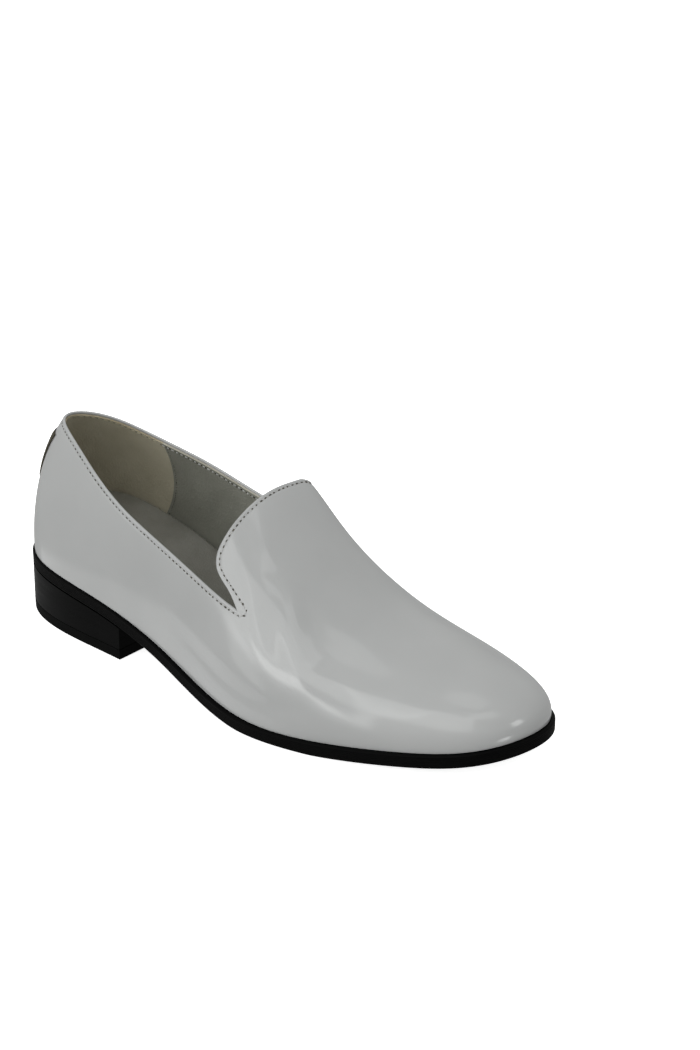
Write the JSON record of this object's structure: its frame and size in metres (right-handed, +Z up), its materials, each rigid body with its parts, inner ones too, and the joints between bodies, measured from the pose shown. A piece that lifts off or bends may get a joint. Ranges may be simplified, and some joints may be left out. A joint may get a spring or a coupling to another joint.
{
  "type": "slip-on shoe",
  "caption": "Plain slip-on dress shoe for the right foot: low-cut smooth upper with a tongue-shaped vamp, thin black sole, low block heel and a tab over the back seam.",
  "frame": {"origin": "on the ground plane, under the middle of the sole's box", "axes": "+X from heel to toe, +Y to the medial (inner) side of the foot, +Z up"},
  "size_m": [0.2973, 0.1036, 0.0986],
  "materials": {
    "outsole": "black, semi-matt",
    "heel_block": "black, satin",
    "heel_top_piece": "black, matt",
    "insole": "grey, matt",
    "upper": "white patent, mirror gloss",
    "back_tab": "olive gold, satin"
  },
  "bodies": {
    "root": {"outsole": "outsole", "heel_block": "heel_block", "heel_top_piece": "heel_top_piece", "insole": "insole", "upper": "upper", "back_tab": "back_tab"}
  },
  "joints": []
}
